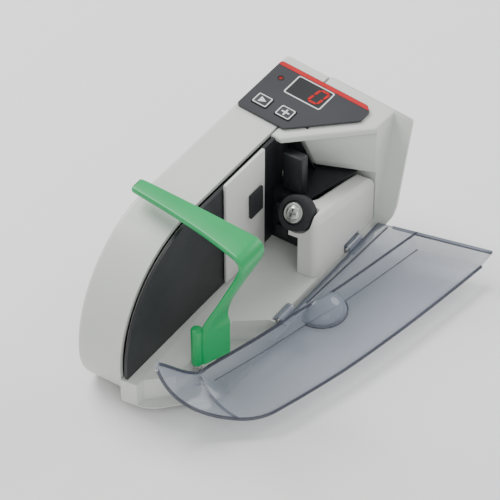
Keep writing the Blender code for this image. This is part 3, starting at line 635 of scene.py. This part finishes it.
def skirt_row(share):
    """Points across the round end, from the rim over the body to the free edge."""
    inner, outer = on_curve(SKIRT_INNER, share), on_curve(SKIRT_OUTER, share)
    row = [inner.copy() for _ in range(3)]
    for k in range(BASIN_STEPS + 1):
        across = SKIRT_START + (1 - SKIRT_START) * k / BASIN_STEPS
        bulge = SKIRT_BULGE * math.sin(math.pi * across) * (1 - share ** 2)
        row.append(inner.lerp(outer, across) + bulge * SKIRT_PUSH)
    return row


def cover_rows():
    """The whole sheet, row by row from the head end to the tip of the round end."""
    rows = [cover_row(-0.5, 0.0), cover_row(-2.1, 0.0), cover_row(-3.6, COVER_DEPTH)]
    rows += [cover_row(y, COVER_DEPTH) for y in range(-6, int(LAST_Y) - 1, -4)]
    first, after = skirt_row(RIB_SHARE), skirt_row(RIB_SHARE + 0.02)
    before, last = rows[-2:]
    for k in range(1, BLEND_STEPS):
        t = k / BLEND_STEPS
        row = []
        for a0, a, b, b1 in zip(before, last, first, after):
            reach = (b - a).length
            leave = (a - a0).normalized() * reach
            arrive = (b1 - b).normalized() * reach
            row.append((1 + 2 * t) * (1 - t) ** 2 * a + t * (1 - t) ** 2 * leave + t * t * (3 - 2 * t) * b
                       - t * t * (1 - t) * arrive)
        rows.append(row)
    span = TIP_SHARE - RIB_SHARE
    rows += [skirt_row(RIB_SHARE + span * k / SKIRT_STEPS) for k in range(SKIRT_STEPS + 1)]
    return rows


def tube(name, points, radius, finish, body, sides=8):
    """A round bead along points."""
    points = [Vector(p) for p in points]
    rings = []
    for i, point in enumerate(points):
        along = (points[min(i + 1, len(points) - 1)] - points[max(i - 1, 0)]).normalized()
        across = along.cross(BEAD_ASIDE).normalized()
        other = along.cross(across)
        turns = [2 * math.pi * k / sides for k in range(sides)]
        rings.append([point + radius * (math.cos(t) * across + math.sin(t) * other) for t in turns])
    solid(name, rings, finish, body, angle=60.0)


def make_cover():
    rows = cover_rows()
    work = bmesh.new()
    grid = [[work.verts.new(place(p)) for p in row] for row in rows]
    for row, ahead in zip(grid, grid[1:]):
        for k in range(len(row) - 1):
            work.faces.new((row[k], row[k + 1], ahead[k + 1], ahead[k]))
    bmesh.ops.remove_doubles(work, verts=work.verts, dist=0.00005)
    bmesh.ops.dissolve_degenerate(work, edges=work.edges, dist=0.00002)
    bmesh.ops.recalc_face_normals(work, faces=work.faces)
    if sum(face.normal.z for face in work.faces) < 0:
        bmesh.ops.reverse_faces(work, faces=work.faces)
    mesh = bpy.data.meshes.new("cover_sheet")
    work.to_mesh(mesh)
    work.free()
    sheet = link("cover_sheet", mesh, M["cover_plastic"])
    smooth(mesh, 28.0)
    thick = sheet.modifiers.new("thickness", "SOLIDIFY")
    thick.thickness = COVER_T * MM
    thick.offset = -1.0
    thick.use_even_offset = True
    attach(sheet, "cover")
    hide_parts("cover")
    down = Vector((0.0, 0.0, -COVER_T / 2))
    long_edge = [row[-1] + down for row in rows[2:]]
    end_line = [rows[0][0].lerp(rows[0][1], RIM_START), *rows[0][1:]]
    # The beads follow real edges, the ridge, rib, crease and rims of the sheet; their dark finish is painted
    # shade for the dark lines that bent light draws along them.
    beads = {
        "cover_free_edge": (long_edge, 0.85),
        "cover_end_edge": ([p + down for p in end_line], 0.85),
        "cover_end_step": ([p + down * 0.4 for p in rows[1][2:]], 0.35),
        "cover_rim_edge": ([row[0] + down for row in rows if row[0].y < LAST_Y + 1.0], 0.8),
        "cover_hinge_edge": ([row[0] + down for row in rows if row[0].y >= LAST_Y], 0.7),
        "cover_ridge": ([row[2] + down * 0.2 for row in rows if row[2].y >= LAST_Y], 0.62),
        "cover_ridge_foot": ([row[3] + down * 0.3 for row in rows[2:] if row[3].y >= LAST_Y], 0.3),
    }
    for name, (points, radius) in beads.items():
        tube(name, points, radius, M["cover_edge"], "cover")
    rib = [p + down for p in skirt_row(RIB_SHARE)[3:]]
    tube("cover_rib", rib, 0.7, M["cover_edge"], "cover")
    crease = [Vector((x, y + cover_lean(y) * x, -0.1)) for x, y in FLANGE_CREASE]
    tube("cover_crease", crease, 0.5, M["cover_edge"], "cover")
    make_dome()
    make_knuckles()


def make_dome():
    """The half dome that a finger opens the cover by, on the step's slope."""
    centre_y, radius, steps = DOME_Y, DOME_R, 14
    centre = Vector((ridge_x(centre_y), centre_y + cover_lean(centre_y) * ridge_x(centre_y), 0.0))
    along = Vector((ridge_x(centre_y + 1) - ridge_x(centre_y - 1), 2.0, 0.0)).normalized()
    out = Vector((along.y, -along.x, 0.0))
    work = bmesh.new()
    grid = []
    for i in range(steps + 1):
        fall = math.pi / 2 * i / steps
        reach, z = radius * math.sin(fall), -COVER_DEPTH * (1 - math.cos(fall)) + 0.25
        row = []
        for k in range(2 * steps + 1):
            t = math.pi * k / (2 * steps) - math.pi / 2
            point = centre + reach * (math.cos(t) * out + math.sin(t) * along) + Vector((0, 0, z))
            row.append(work.verts.new(place(point)))
        grid.append(row)
    for row, ahead in zip(grid, grid[1:]):
        for k in range(len(row) - 1):
            work.faces.new((row[k], ahead[k], ahead[k + 1], row[k + 1]))
    bmesh.ops.remove_doubles(work, verts=work.verts, dist=0.00001)
    bmesh.ops.recalc_face_normals(work, faces=work.faces)
    mesh = bpy.data.meshes.new("cover_dome")
    work.to_mesh(mesh)
    work.free()
    dome = link("cover_dome", mesh, M["cover_plastic"])
    smooth(mesh, 60.0)
    thick = dome.modifiers.new("thickness", "SOLIDIFY")
    thick.thickness = 1.2 * MM
    thick.offset = 1.0
    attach(dome, "cover")
    turns = [math.pi * k / 24 - math.pi / 2 for k in range(2, 23)]
    # Both rim beads take the dark edge finish: painted shade for the dark lines round the dome.
    rims = (("dome_foot", radius, 0.3, 0.35), ("dome_ring", radius + 1.8, 0.2, 0.3))
    for name, reach, rise, bead in rims:
        foot = centre + Vector((0, 0, rise - COVER_DEPTH))
        ring = [foot + reach * (math.cos(t) * out + math.sin(t) * along) for t in turns]
        tube(name, ring, bead, M["cover_edge"], "cover")


def make_knuckles():
    """The rolled hinge knuckles, one round each pin, and the lug that joins each to the cover."""
    for i in (1, 2):
        low, high = box_of(f"hinge_pin_{i}")
        middle, half = (low.y + high.y) / 2, KNUCKLE_HALF
        profile = [(0.0, 1.25), (0.0, 2.0), (0.25, 2.35)]
        profile += [(2 * half - d, r) for d, r in reversed(profile)]
        knuckle = turned(f"cover_knuckle_{i}", (0.0, middle - half, 0.0), (0, 1, 0), profile,
                         M["cover_plastic"], "cover", 40, True)
        corners = [(1.2, middle - half), (4.4, middle - half), (4.4, middle + half), (1.2, middle + half)]
        faces = [[(x, y, z) for x, y in corners] for z in (-1.9, -0.2)]
        lug = solid(f"cover_lug_{i}", faces, M["cover_plastic"], "cover")
        bevel(lug, 0.3)


M = make_materials()
make_camera()
make_stage()
for node, obj in frame["nodes"].items():
    obj.data.materials.clear()
    obj.data.materials.append(M[SLOT_OF[node]])

EDGES = {  # width of each node's rounded edges, in mm
    "rear_shell": 0.45, "front_shell": 0.3, "roller_housing": 0.5, "control_panel": 0.2,
    "display_window": 0.12, "start_button": 0.15, "add_button": 0.15, "channel_liner": 0.2,
    "throat_liner": 0.25, "guide_bracket": 0.0, "note_guide_plate": 0.0, "battery_door": 0.4,
    "power_switch": 0.3, "dc_jack": 0.2, "foot_1": 0.3, "foot_2": 0.3, "foot_3": 0.3, "foot_4": 0.3,
    "friction_pad": 0.0,
}
for node, width in EDGES.items():
    refine(node, width)
make_roller()
make_throat_shade()
make_lever()
make_prints()
make_cover()
